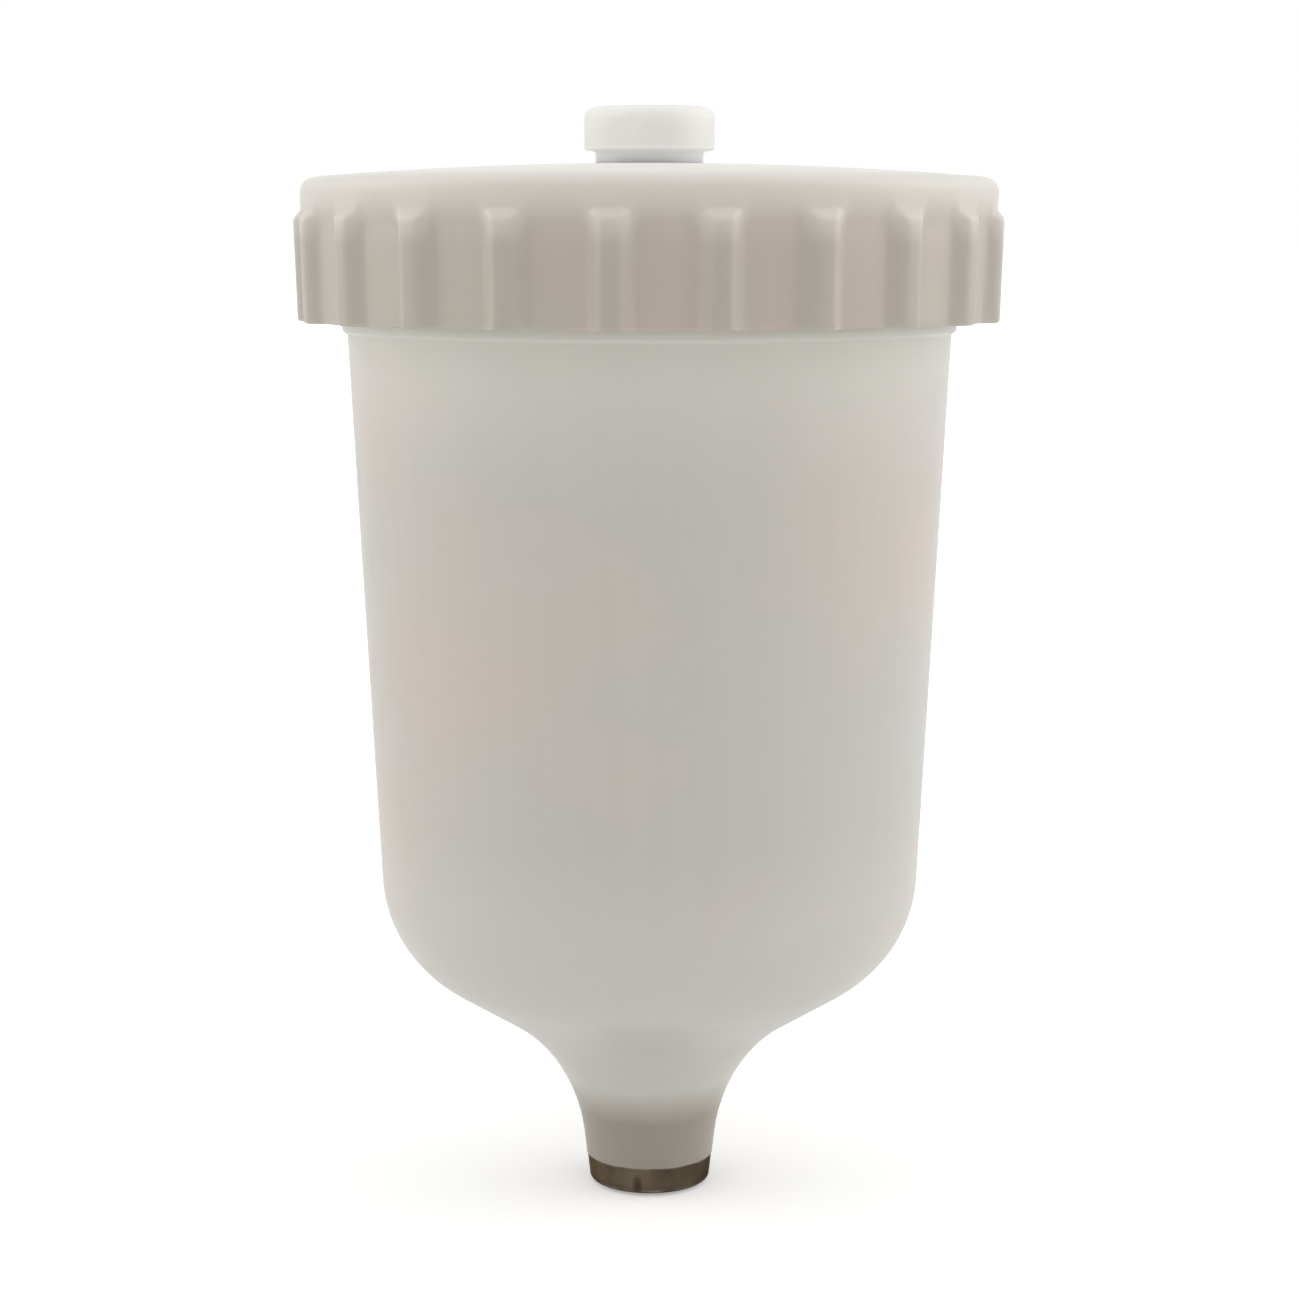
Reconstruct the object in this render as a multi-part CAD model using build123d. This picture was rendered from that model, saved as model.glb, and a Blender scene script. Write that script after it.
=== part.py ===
from build123d import *
import os
from math import acos, atan, sin, tan

# Gravity-feed paint cup with a screw lid, for a spray gun. Millimetres, +Z up.
# The origin is on the cup's axis, in the lower face of the threaded outlet insert.

# Outlet insert: a turned metal bush moulded into the neck, bored for a female pipe thread
OUTLET_THREAD_R = 5.72
OUTLET_THREAD_L = 11.0
OUTLET_LIP_W = 1.02
INSERT_WALL = 2.28
INSERT_BARREL_H = 10.2
INSERT_GROOVE_COUNT = 2
INSERT_GROOVE_DEPTH = 0.5
INSERT_GROOVE_W = 1.4
INSERT_COLLAR_H = 4.4
INSERT_COLLAR_SETBACK = 0.12
INSERT_COLLAR_TAPER = 0.5
INSERT_EDGE_ROUND = 0.9

# Cup body: one translucent moulding. A corner is where two straight stretches would meet.
SIDE_WALL = 2.2
NECK_WALL = 2.07
THROAT_FLARE = 1.77
THROAT_CORNER_Z = 20.6
THROAT_ROUND = 26.8
THROAT_LEDGE_W = 1.4
THROAT_BORE_ROUND = 5.0
BOWL_CORNER_R = 41.6
BOWL_CORNER_Z = 39.0
BOWL_ROUND = 20.6
WALL_TOP_R = 46.4
WALL_TOP_Z = 134.9
FINISH_PROUD = 0.75
FINISH_H = 18.7
FINISH_BEVEL_H = 0.6
RIM_ROUND = 0.5

# Screw thread between cup and lid: two starts, blunt sections
THREAD_STARTS = 2
THREAD_LEAD = 12.0
THREAD_DEPTH = 1.85
THREAD_CREST_W = 1.4
THREAD_FLANK_RUN = 0.9
THREAD_ROOT_SINK = 0.4
THREAD_RADIAL_CLEARANCE = 0.4
THREAD_FLANK_CLEARANCE = 0.4
CUP_THREAD_TURNS = 0.7
CUP_THREAD_BELOW_RIM = 3.0
LID_THREAD_TURNS = 0.75
LID_THREAD_ABOVE_EDGE = 2.7

# Lid gasket: a flat ring between the lid and the cup's rim
GASKET_T = 1.5
GASKET_EDGE_CLEARANCE = 0.3

# Lid: a domed screw cap with grip ribs round its skirt
LID_GAP_ABOVE_WALL_TOP = 2.0
LID_SHOULDER_ABOVE_SEAT = 3.3
LID_SKIRT_WALL = 2.6
LID_PANEL_FLARE = 0.35
LID_PANEL_RECESS = 0.9
LID_SHOULDER_ROUND = 2.2
LID_SHOULDER_WALL_H = 4.7
LID_STEP_H = 0.9
LID_STEP_ROUND = 0.5
LID_MOUTH_CHAMFER = 0.6
LID_DOME_RISE = 2.3
LID_DOME_ARC_SHARE = 0.97
LID_TOP_WALL = 2.2
LID_CEILING_ROUND = 1.0
GUIDE_RING_CLEARANCE = 0.5
GUIDE_RING_WALL = 1.4
GUIDE_RING_H = 3.6
GUIDE_RING_EDGE = 0.4
RIB_COUNT = 22
RIB_PHASE_DEG = -95.77
RIB_FOOT_DEPTH = 2.0
RIB_TOP_DEPTH = 2.15
RIB_CREST_W = 3.4
RIB_BASE_W = 6.6
RIB_CREST_ROUND = 0.8
RIB_ROOT_SINK = 0.8
RIB_TOP_BELOW_SHOULDER = 4.2
RIB_TOP_ROUND = 2.6

# Vent plug: a mushroom pressed by hand into the boss under the lid's centre
PLUG_SHANK_R = 5.0
PLUG_SHANK_L = 9.6
PLUG_SHANK_ROUND = 0.6
PLUG_SHANK_WALL = 1.6
PLUG_SHANK_CLEARANCE = 0.08
PLUG_CORE_ABOVE_LID = 5.6
PLUG_STEM_STEP = 3.25
PLUG_STEM_H = 2.05
PLUG_STEM_ROUND = 0.7
PLUG_HEAD_LIP = 1.75
PLUG_HEAD_H = 6.8
PLUG_HEAD_CROWN = 0.35
PLUG_HEAD_TOP_ROUND = 1.8
PLUG_HEAD_FOOT_ROUND = 0.3
PLUG_AIR_SLOT_W = 2.2
PLUG_AIR_SLOT_H = 0.8
PLUG_AIR_SLOT_DEG = 90.0

# Vent boss of the lid, and the drip baffle pressed over it
BOSS_WALL = 2.32
BOSS_H = 8.0
BAFFLE_WALL = 1.2
BAFFLE_GRIP_L = 4.0
BAFFLE_CHAMBER_H = 3.2
BAFFLE_FOOT_ROUND = 0.8
BAFFLE_WINDOW_COUNT = 4
BAFFLE_WINDOW_W = 2.6
BAFFLE_WINDOW_H = 1.8

# Paint strainer: a cage with a fine mesh sleeve that stands in the throat on the insert
STRAINER_CLEARANCE = 0.3
STRAINER_FOOT_H = 4.6
STRAINER_WALL = 1.1
STRAINER_POST_COUNT = 4
STRAINER_POST_W = 1.3
STRAINER_CAGE_H = 26.0
STRAINER_CAP_H = 1.6
STRAINER_TAB_W = 7.0
STRAINER_TAB_T = 1.6
STRAINER_TAB_H = 5.0
STRAINER_TAB_ROUND = 1.2
MESH_T = 0.3

# One overrun serves every cut and trim
OVERRUN = 1.0

# Levels and radii that follow from the sizes above
insert_r = OUTLET_THREAD_R + INSERT_WALL
insert_top_z = INSERT_COLLAR_H + INSERT_BARREL_H
neck_foot_r = insert_r + NECK_WALL
throat_bore_r = insert_r - THROAT_LEDGE_W
rim_z = WALL_TOP_Z + FINISH_H
wall_lean = (WALL_TOP_R - BOWL_CORNER_R) / (WALL_TOP_Z - BOWL_CORNER_Z)
rim_bore_r = WALL_TOP_R - SIDE_WALL + wall_lean * FINISH_H
finish_r = WALL_TOP_R + FINISH_PROUD
cup_crest_r = finish_r + THREAD_DEPTH
lid_crest_r = finish_r + THREAD_RADIAL_CLEARANCE
lid_bore_r = cup_crest_r + THREAD_RADIAL_CLEARANCE
panel_foot_r = lid_bore_r + LID_SKIRT_WALL
panel_top_r = panel_foot_r + LID_PANEL_FLARE
shoulder_r = panel_top_r + LID_PANEL_RECESS
lid_foot_z = WALL_TOP_Z + LID_GAP_ABOVE_WALL_TOP
lid_land_z = rim_z + GASKET_T
shoulder_z = lid_land_z + LID_SHOULDER_ABOVE_SEAT
dome_z = shoulder_z + LID_DOME_RISE
guide_ring_r = rim_bore_r - GUIDE_RING_CLEARANCE
plug_bore_r = PLUG_SHANK_R + PLUG_SHANK_CLEARANCE
boss_r = plug_bore_r + BOSS_WALL
boss_foot_z = dome_z - LID_TOP_WALL - BOSS_H
strainer_r = throat_bore_r - STRAINER_CLEARANCE
mesh_r = strainer_r - STRAINER_WALL
cage_z = insert_top_z + STRAINER_FOOT_H


def rounded_face(corners):
    """A face whose outline runs through corners, each (across, up, radius of its round)."""
    stops = []
    for i, (x, y, radius) in enumerate(corners):
        here = Vector(x, y)
        if radius == 0:
            stops.append((here, None, here))
            continue
        back = (Vector(*corners[i - 1][:2]) - here).normalized()
        ahead = (Vector(*corners[(i + 1) % len(corners)][:2]) - here).normalized()
        half = acos(back.dot(ahead)) / 2
        reach = radius / tan(half)
        middle = here + (back + ahead).normalized() * (radius / sin(half) - radius)
        stops.append((here + back * reach, middle, here + ahead * reach))
    edges = []
    for i, (start, middle, end) in enumerate(stops):
        if middle is not None:
            edges.append(ThreePointArc(start, middle, end))
        edges.append(Line(end, stops[(i + 1) % len(stops)][0]))
    return make_face(edges)


def turned(corners):
    """A solid of revolution about Z from corners, each (radius, height, radius of its round)."""
    return revolve(Plane.XZ * rounded_face(corners), axis=Axis.Z)


def ring(outer, inner, low, high):
    """A plain ring on the axis, or a disc where the inner radius is zero."""
    return turned([(inner, low, 0), (outer, low, 0), (outer, high, 0), (inner, high, 0)])


def radial_bar(width, height, inner, outer, low):
    """A bar that runs out along +X from radius inner to radius outer, with its underside at low."""
    bar = Box(outer - inner, width, height, align=(Align.MIN, Align.CENTER, Align.MIN))
    return Pos(X=inner, Z=low) * bar


def around(shape, count, phase=0):
    """Copies of shape, evenly spaced round the axis."""
    return [Rot(Z=phase + 360 * i / count) * shape for i in range(count)]


def offset_line(start, end, distance):
    """The line from start to end, moved by distance to the left of its run."""
    run = (Vector(*end) - Vector(*start)).normalized()
    across = Vector(-run.Y, run.X) * distance
    return Vector(*start) + across, run


def crossing(first, second):
    """The point where two lines, each (point, direction), cross."""
    (p, u), (q, v) = first, second
    gap = q - p
    along = (gap.X * v.Y - gap.Y * v.X) / (u.X * v.Y - u.Y * v.X)
    at = p + u * along
    return at.X, at.Y


# Screw thread between cup and lid


def thread_base_w(wall_r, crest_r):
    """The width of a thread section at its sunk root."""
    depth = abs(crest_r - wall_r) + THREAD_ROOT_SINK
    return THREAD_CREST_W + 2 * depth * THREAD_FLANK_RUN / THREAD_DEPTH


def thread_ridge(wall_r, crest_r, turns, start_z, start_angle):
    """One start of the thread: a trapezoid section on a right-hand helix, rooted in its wall."""
    root_r = wall_r - THREAD_ROOT_SINK if crest_r > wall_r else wall_r + THREAD_ROOT_SINK
    half_base = thread_base_w(wall_r, crest_r) / 2
    half_crest = THREAD_CREST_W / 2
    section = (
        (root_r, -half_base),
        (root_r, half_base),
        (crest_r, half_crest),
        (crest_r, -half_crest),
    )
    rails = [Helix(THREAD_LEAD, THREAD_LEAD * turns, r, center=(0, 0, z)) for r, z in section]
    sides = [Face.make_surface_from_curves(rails[i - 1], rails[i]) for i in range(len(rails))]
    ends = [Face(Wire.make_polygon([rail @ end for rail in rails])) for end in (0, 1)]
    return Rot(Z=start_angle) * Pos(Z=start_z) * Solid(Shell(sides + ends))


cup_thread_z = rim_z - CUP_THREAD_BELOW_RIM - THREAD_LEAD * CUP_THREAD_TURNS
lid_thread_z = lid_foot_z + LID_THREAD_ABOVE_EDGE

# With the lid closed, its ridges lie under the cup's by both half widths and the clearance
thread_overlap = cup_crest_r - lid_crest_r
thread_drop = THREAD_CREST_W + thread_overlap * THREAD_FLANK_RUN / THREAD_DEPTH + THREAD_FLANK_CLEARANCE
lid_thread_angle = 360 * (lid_thread_z + thread_drop - cup_thread_z) / THREAD_LEAD


# Outlet insert


def insert_blank():
    """The insert's outer form without its bore, which is also the hole moulded into the neck."""
    collar_r = neck_foot_r - INSERT_COLLAR_SETBACK
    groove_r = insert_r - INSERT_GROOVE_DEPTH
    land = (INSERT_BARREL_H - INSERT_GROOVE_COUNT * INSERT_GROOVE_W) / (INSERT_GROOVE_COUNT + 1)
    corners = [
        (0, 0, 0),
        (collar_r - INSERT_COLLAR_TAPER, 0, INSERT_EDGE_ROUND),
        (collar_r, INSERT_COLLAR_H, 0),
        (insert_r, INSERT_COLLAR_H, 0),
    ]
    for i in range(INSERT_GROOVE_COUNT):
        low = INSERT_COLLAR_H + land + (land + INSERT_GROOVE_W) * i
        high = low + INSERT_GROOVE_W
        corners += [(insert_r, low, 0), (groove_r, low, 0)]
        corners += [(groove_r, high, 0), (insert_r, high, 0)]
    corners += [(insert_r, insert_top_z, 0), (0, insert_top_z, 0)]
    return turned(corners)


def make_outlet_insert():
    bore = ring(OUTLET_THREAD_R, 0, 0, OUTLET_THREAD_L)
    lip = ring(OUTLET_THREAD_R - OUTLET_LIP_W, 0, OUTLET_THREAD_L, insert_top_z)
    return insert_blank() - bore - lip


# Cup body


def make_cup_body():
    neck = (neck_foot_r, INSERT_COLLAR_H)
    throat = (neck_foot_r + THROAT_FLARE, THROAT_CORNER_Z)
    bowl = (BOWL_CORNER_R, BOWL_CORNER_Z)
    wall_top = (WALL_TOP_R, WALL_TOP_Z)
    cone_inside = offset_line(throat, bowl, SIDE_WALL)
    wall_inside = offset_line(bowl, wall_top, SIDE_WALL)
    bore_wall = (Vector(throat_bore_r, 0), Vector(0, 1))
    rim_level = (Vector(0, rim_z), Vector(1, 0))
    shell = turned(
        [
            (throat_bore_r, INSERT_COLLAR_H, 0),
            (*neck, 0),
            (*throat, THROAT_ROUND),
            (*bowl, BOWL_ROUND),
            (*wall_top, 0),
            (finish_r, WALL_TOP_Z + FINISH_BEVEL_H, 0),
            (finish_r, rim_z, RIM_ROUND),
            (*crossing(wall_inside, rim_level), RIM_ROUND),
            (*crossing(cone_inside, wall_inside), BOWL_ROUND - SIDE_WALL),
            (*crossing(bore_wall, cone_inside), THROAT_BORE_ROUND),
        ]
    )
    ridge = thread_ridge(finish_r, cup_crest_r, CUP_THREAD_TURNS, cup_thread_z, 0)
    return shell - insert_blank() + around(ridge, THREAD_STARTS)


# Paint strainer


def make_strainer_frame():
    cap_z = cage_z + STRAINER_CAGE_H
    tab_top_z = cap_z + STRAINER_CAP_H + STRAINER_TAB_H
    foot = ring(strainer_r, mesh_r, insert_top_z, cage_z)
    post = radial_bar(STRAINER_POST_W, STRAINER_CAGE_H, mesh_r, strainer_r + OVERRUN, cage_z)
    posts = Part() + around(post, STRAINER_POST_COUNT, 180 / STRAINER_POST_COUNT)
    cage = posts & ring(strainer_r, mesh_r, cage_z, cap_z)
    cap = ring(strainer_r, 0, cap_z, cap_z + STRAINER_CAP_H)
    outline = rounded_face(
        [
            (-STRAINER_TAB_W / 2, cap_z, 0),
            (STRAINER_TAB_W / 2, cap_z, 0),
            (STRAINER_TAB_W / 2, tab_top_z, STRAINER_TAB_ROUND),
            (-STRAINER_TAB_W / 2, tab_top_z, STRAINER_TAB_ROUND),
        ]
    )
    tab = extrude(Plane.YZ * outline, STRAINER_TAB_T / 2, both=True)
    return foot + cage + cap + tab


def make_strainer_mesh():
    return ring(mesh_r, mesh_r - MESH_T, insert_top_z, cage_z + STRAINER_CAGE_H)


# Lid gasket


def make_lid_gasket():
    outer = lid_bore_r - GASKET_EDGE_CLEARANCE
    inner = guide_ring_r + GASKET_EDGE_CLEARANCE
    return ring(outer, inner, rim_z, lid_land_z)


# Lid


def rib_section(panel_r, depth):
    """One rib in plan, along +X: flat-topped, with its root sunk in the panel it stands on."""
    half_base = RIB_BASE_W / 2
    half_crest = RIB_CREST_W / 2
    half_root = half_base + (half_base - half_crest) * RIB_ROOT_SINK / depth
    return rounded_face(
        [
            (panel_r - RIB_ROOT_SINK, -half_root, 0),
            (panel_r + depth, -half_crest, RIB_CREST_ROUND),
            (panel_r + depth, half_crest, RIB_CREST_ROUND),
            (panel_r - RIB_ROOT_SINK, half_root, 0),
        ]
    )


def make_grip_rib():
    """One rib, up to its top, which rounds over into the shoulder."""
    rib_top_z = shoulder_z - RIB_TOP_BELOW_SHOULDER
    crest_r = panel_top_r + RIB_TOP_DEPTH
    low = Pos(Z=lid_foot_z) * rib_section(panel_foot_r, RIB_FOOT_DEPTH)
    high = Pos(Z=rib_top_z) * rib_section(panel_top_r, RIB_TOP_DEPTH)
    envelope = turned(
        [
            (lid_bore_r, lid_foot_z, 0),
            (crest_r + OVERRUN, lid_foot_z, 0),
            (crest_r, rib_top_z, RIB_TOP_ROUND),
            (lid_bore_r, rib_top_z, 0),
        ]
    )
    return loft([low, high], ruled=True) & envelope


def make_lid():
    dome_corner_r = (shoulder_r - LID_SHOULDER_ROUND) / 2
    dome_slope = atan(LID_DOME_RISE / (shoulder_r - dome_corner_r))
    dome_round = LID_DOME_ARC_SHARE * dome_corner_r / tan(dome_slope / 2)
    shoulder_foot_z = shoulder_z - LID_SHOULDER_WALL_H
    ring_bore_r = guide_ring_r - GUIDE_RING_WALL
    ring_foot_z = lid_land_z - GUIDE_RING_H
    ceiling_z = dome_z - LID_TOP_WALL
    ceiling_edge_z = ceiling_z - (ring_bore_r - dome_corner_r) * tan(dome_slope)
    top = turned(
        [
            (0, boss_foot_z, 0),
            (boss_r, boss_foot_z, 0),
            (boss_r, ceiling_z, LID_CEILING_ROUND),
            (dome_corner_r, ceiling_z, 0),
            (ring_bore_r, ceiling_edge_z, LID_CEILING_ROUND),
            (ring_bore_r, ring_foot_z, GUIDE_RING_EDGE),
            (guide_ring_r, ring_foot_z, GUIDE_RING_EDGE),
            (guide_ring_r, lid_land_z, 0),
            (lid_bore_r, lid_land_z, 0),
            (lid_bore_r, lid_foot_z + LID_MOUTH_CHAMFER, 0),
            (lid_bore_r + LID_MOUTH_CHAMFER, lid_foot_z, 0),
            (panel_foot_r, lid_foot_z, 0),
            (panel_top_r, shoulder_foot_z - LID_STEP_H, 0),
            (shoulder_r, shoulder_foot_z, LID_STEP_ROUND),
            (shoulder_r, shoulder_z, LID_SHOULDER_ROUND),
            (dome_corner_r, dome_z, dome_round),
            (0, dome_z, 0),
        ]
    )
    plug_bore = ring(plug_bore_r, 0, boss_foot_z, dome_z)
    ridge = thread_ridge(lid_bore_r, lid_crest_r, LID_THREAD_TURNS, lid_thread_z, lid_thread_angle)
    ribs = around(make_grip_rib(), RIB_COUNT, RIB_PHASE_DEG)
    return top - plug_bore + ribs + around(ridge, THREAD_STARTS)


def make_drip_baffle():
    """A cap over the boss: air passes its windows, paint splashed up is held back."""
    outer = boss_r + BAFFLE_WALL
    floor_z = boss_foot_z - BAFFLE_CHAMBER_H
    cap = turned(
        [
            (0, floor_z - BAFFLE_WALL, 0),
            (outer, floor_z - BAFFLE_WALL, BAFFLE_FOOT_ROUND),
            (outer, boss_foot_z + BAFFLE_GRIP_L, 0),
            (boss_r, boss_foot_z + BAFFLE_GRIP_L, 0),
            (boss_r, floor_z, 0),
            (0, floor_z, 0),
        ]
    )
    window = radial_bar(BAFFLE_WINDOW_W, BAFFLE_WINDOW_H, 0, outer + OVERRUN, floor_z)
    return cap - around(window, BAFFLE_WINDOW_COUNT)


def make_vent_plug():
    head_foot_z = dome_z + PLUG_STEM_H
    head_top_z = head_foot_z + PLUG_HEAD_H
    core_top_z = dome_z + PLUG_CORE_ABOVE_LID
    core_r = PLUG_SHANK_R - PLUG_SHANK_WALL
    stem_r = PLUG_SHANK_R + PLUG_STEM_STEP
    head_r = stem_r + PLUG_HEAD_LIP
    mushroom = turned(
        [
            (core_r, dome_z - PLUG_SHANK_L, 0),
            (PLUG_SHANK_R, dome_z - PLUG_SHANK_L, PLUG_SHANK_ROUND),
            (PLUG_SHANK_R, dome_z, 0),
            (stem_r, dome_z, 0),
            (stem_r, head_foot_z, PLUG_STEM_ROUND),
            (head_r, head_foot_z, PLUG_HEAD_FOOT_ROUND),
            (head_r, head_top_z - PLUG_HEAD_CROWN, PLUG_HEAD_TOP_ROUND),
            (0, head_top_z, 0),
            (0, core_top_z, 0),
            (core_r, core_top_z, 0),
        ]
    )
    slot = radial_bar(PLUG_AIR_SLOT_W, PLUG_AIR_SLOT_H, 0, head_r, dome_z)
    return mushroom - Rot(Z=PLUG_AIR_SLOT_DEG) * slot


PIECES = {
    "cup_body": make_cup_body,
    "outlet_insert": make_outlet_insert,
    "strainer_frame": make_strainer_frame,
    "strainer_mesh": make_strainer_mesh,
    "lid_gasket": make_lid_gasket,
    "lid": make_lid,
    "drip_baffle": make_drip_baffle,
    "vent_plug": make_vent_plug,
}

os.makedirs("parts", exist_ok=True)
for name, make in PIECES.items():
    export_step(make(), f"parts/{name}.step")
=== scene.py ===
from math import acos, cos, pi, radians, sin, tan

import bpy
import numpy as np
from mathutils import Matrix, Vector


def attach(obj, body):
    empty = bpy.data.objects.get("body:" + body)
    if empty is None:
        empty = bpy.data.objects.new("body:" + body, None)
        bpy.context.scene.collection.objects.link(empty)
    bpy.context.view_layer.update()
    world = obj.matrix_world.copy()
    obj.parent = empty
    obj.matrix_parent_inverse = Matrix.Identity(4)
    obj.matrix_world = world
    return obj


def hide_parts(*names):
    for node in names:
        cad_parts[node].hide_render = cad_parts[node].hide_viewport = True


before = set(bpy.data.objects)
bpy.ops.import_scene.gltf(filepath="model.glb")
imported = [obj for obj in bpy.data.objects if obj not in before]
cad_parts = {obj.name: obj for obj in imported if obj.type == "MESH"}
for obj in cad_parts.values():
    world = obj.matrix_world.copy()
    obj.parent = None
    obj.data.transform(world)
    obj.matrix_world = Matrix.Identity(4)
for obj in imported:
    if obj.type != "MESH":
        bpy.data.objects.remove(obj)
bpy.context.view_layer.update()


# Outlet insert: a turned bush of dull dark metal, which the neck is moulded round.
# Its collar shows below the plastic, its grooved barrel is hidden in the neck, and its
# bore has the female G1/4 thread that takes the spray gun's nipple.

MM = 0.001
COLLAR_R = 9.95
COLLAR_H = 4.4
COLLAR_TAPER = 0.5
COLLAR_EDGE_ROUND = 0.9
BARREL_R = 8.0
BARREL_TOP = 14.6
GROOVE_DEPTH = 0.5
GROOVE_W = 1.4
GROOVE_HEIGHTS = (6.87, 10.73)
THREAD_MINOR_R = 5.72
THREAD_DEPTH = 0.856
THREAD_PITCH = 1.337
THREAD_END = 11.0
THREAD_RUNOUT = 1.2
LIP_R = 4.7
MOUTH_R = 6.9
MOUTH_H = 1.1
BUSH_COLUMNS = 120
ROWS_PER_PITCH = 9
WORN_METAL_EDGES = ((9.6, 0.35, 0.45), (COLLAR_R, COLLAR_H, 0.3), (MOUTH_R, 0.0, 0.35))
WEAR_SCALE = 420.0
WEAR_RANGE = (0.3, 0.62)
NOISE_MIDDLE = (0.3, 0.7)
FOOT_DARK_TOP_Z = 1.6
FOOT_DARK_FULL_Z = 0.3
FOOT_DARK_SHARE = 0.45
SMEAR_PLACE = (-1.9 * MM, -9.8 * MM, 1.2 * MM)
SMEAR_REACH = (1.0 * MM, 2.0 * MM, 2.4 * MM)
SMEAR_CORE = 0.35
SMEAR_RAGGED = 0.15
SMEAR_SHARE = 0.75
LATHE_RING_SCALE = 7000.0
LATHE_RING_STRETCH = (0.05, 0.05, 1.0)
LATHE_RING_DEPTH = 0.03 * MM
LATHE_RING_BUMP = 0.6
BRIGHT_RING_RANGE = (0.35, 0.7)
BRIGHT_RING_SHARE = 0.12
STAIN_SCALE = 130.0
STAIN_RANGE = (0.4, 0.7)
METAL = (102, 91, 75)
METAL_STAIN = (68, 59, 47)
METAL_RING = (124, 113, 97)
METAL_FOOT_DARK = (60, 50, 38)
METAL_WORN = (158, 147, 132)
METAL_SMEAR = (48, 41, 32)
METAL_REFLECTION = (0.3, 0.27, 0.22, 1.0)
METALLIC = 0.85
METAL_ROUGHNESS = (0.36, 0.58)
RING_ROUGHNESS = 0.05


def rounded_outline(corners, arc_steps=8):
    """Points (radius, height) through corners (radius, height, round), each round an arc."""
    points = []
    for i, (x, y, size) in enumerate(corners):
        here = Vector((x, y))
        if size == 0:
            points.append((x, y))
            continue
        back = (Vector(corners[i - 1][:2]) - here).normalized()
        ahead = (Vector(corners[(i + 1) % len(corners)][:2]) - here).normalized()
        half = acos(back.dot(ahead)) / 2
        centre = here + (back + ahead).normalized() * (size / sin(half))
        first = here + back * (size / tan(half)) - centre
        last = here + ahead * (size / tan(half)) - centre
        for step in range(arc_steps + 1):
            share = step / arc_steps
            spoke = first * (1 - share) + last * share
            if spoke.length > 0:
                points.append(tuple(centre + spoke.normalized() * size))
    return points


def skin_of_rows(name, radii, heights, turns, closed_round):
    """A mesh from rows of points round the axis: radii and heights are rows by columns, in mm.

    The rows run outwards below, up the outside, inwards on top and down inside, and then close.
    """
    rows, columns = radii.shape
    across = np.stack([radii * np.cos(turns), radii * np.sin(turns), heights], axis=-1)
    row = np.arange(rows)[:, None]
    column = np.arange(columns if closed_round else columns - 1)[None, :]
    next_row, next_column = (row + 1) % rows, (column + 1) % columns
    corners = [
        row * columns + column,
        row * columns + next_column,
        next_row * columns + next_column,
        next_row * columns + column,
    ]
    faces = np.stack(corners, axis=-1).reshape(-1, 4)
    mesh = bpy.data.meshes.new(name)
    mesh.from_pydata((across.reshape(-1, 3) * MM).tolist(), [], faces.tolist())
    return mesh


def finished_piece(name, mesh, material, body, crease_deg=32):
    """The piece itself: smooth where its surface runs on, sharp at corners, on its body."""
    piece = bpy.data.objects.get(name) or bpy.data.objects.new(name, mesh)
    piece.data = mesh
    if piece.name not in bpy.context.scene.collection.objects:
        bpy.context.scene.collection.objects.link(piece)
    mesh.materials.clear()
    mesh.materials.append(material)
    mesh.polygons.foreach_set("use_smooth", [True] * len(mesh.polygons))
    mesh.set_sharp_from_angle(angle=radians(crease_deg))
    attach(piece, body)
    return piece


def threaded_bush():
    """The bush as rows of points, with the thread cut in its bore as a true right-hand helix."""
    outside = [
        (MOUTH_R, 0, 0),
        (COLLAR_R - COLLAR_TAPER, 0, COLLAR_EDGE_ROUND),
        (COLLAR_R, COLLAR_H, 0),
        (BARREL_R, COLLAR_H, 0),
    ]
    for low in GROOVE_HEIGHTS:
        high = low + GROOVE_W
        outside += [(BARREL_R, low, 0), (BARREL_R - GROOVE_DEPTH, low, 0)]
        outside += [(BARREL_R - GROOVE_DEPTH, high, 0), (BARREL_R, high, 0)]
    outside += [(BARREL_R, BARREL_TOP, 0), (LIP_R, BARREL_TOP, 0), (LIP_R, THREAD_END, 0)]
    outline = rounded_outline(outside)
    bore = np.linspace(THREAD_END, 0, int(THREAD_END / THREAD_PITCH * ROWS_PER_PITCH))[:-1]
    turns = np.linspace(0, 2 * pi, BUSH_COLUMNS, endpoint=False)[None, :]
    wave = 0.5 - 0.5 * np.cos(2 * pi * bore[:, None] / THREAD_PITCH - turns)
    fade = np.clip((THREAD_END - bore) / THREAD_RUNOUT, 0, 1)[:, None]
    mouth = MOUTH_R - (MOUTH_R - THREAD_MINOR_R) * bore[:, None] / MOUTH_H
    thread = np.maximum(THREAD_MINOR_R + THREAD_DEPTH * wave * fade, mouth)
    plain = np.array(outline)
    radii = np.vstack([np.repeat(plain[:, :1], BUSH_COLUMNS, axis=1), thread])
    heights = np.concatenate([plain[:, 1], bore])[:, None] * np.ones((1, BUSH_COLUMNS))
    return skin_of_rows("threaded_bush", radii, heights, turns, closed_round=True)


def from_srgb(red, green, blue):
    """A shader colour from display values of 0 to 255."""
    return [((value / 255 + 0.055) / 1.055) ** 2.4 for value in (red, green, blue)] + [1.0]


def add(tree, kind, inputs=None, **settings):
    """A node with its settings, and its inputs filled from values or from other nodes' outputs."""
    node = tree.nodes.new(kind)
    for name, value in settings.items():
        setattr(node, name, value)
    for socket, value in (inputs or {}).items():
        if isinstance(value, bpy.types.NodeSocket):
            tree.links.new(value, node.inputs[socket])
        else:
            node.inputs[socket].default_value = value
    return node


def maths(tree, operation, first, second=0.0, clamp=False):
    inputs = {0: first, 1: second}
    return add(tree, "ShaderNodeMath", inputs, operation=operation, use_clamp=clamp).outputs[0]


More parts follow.
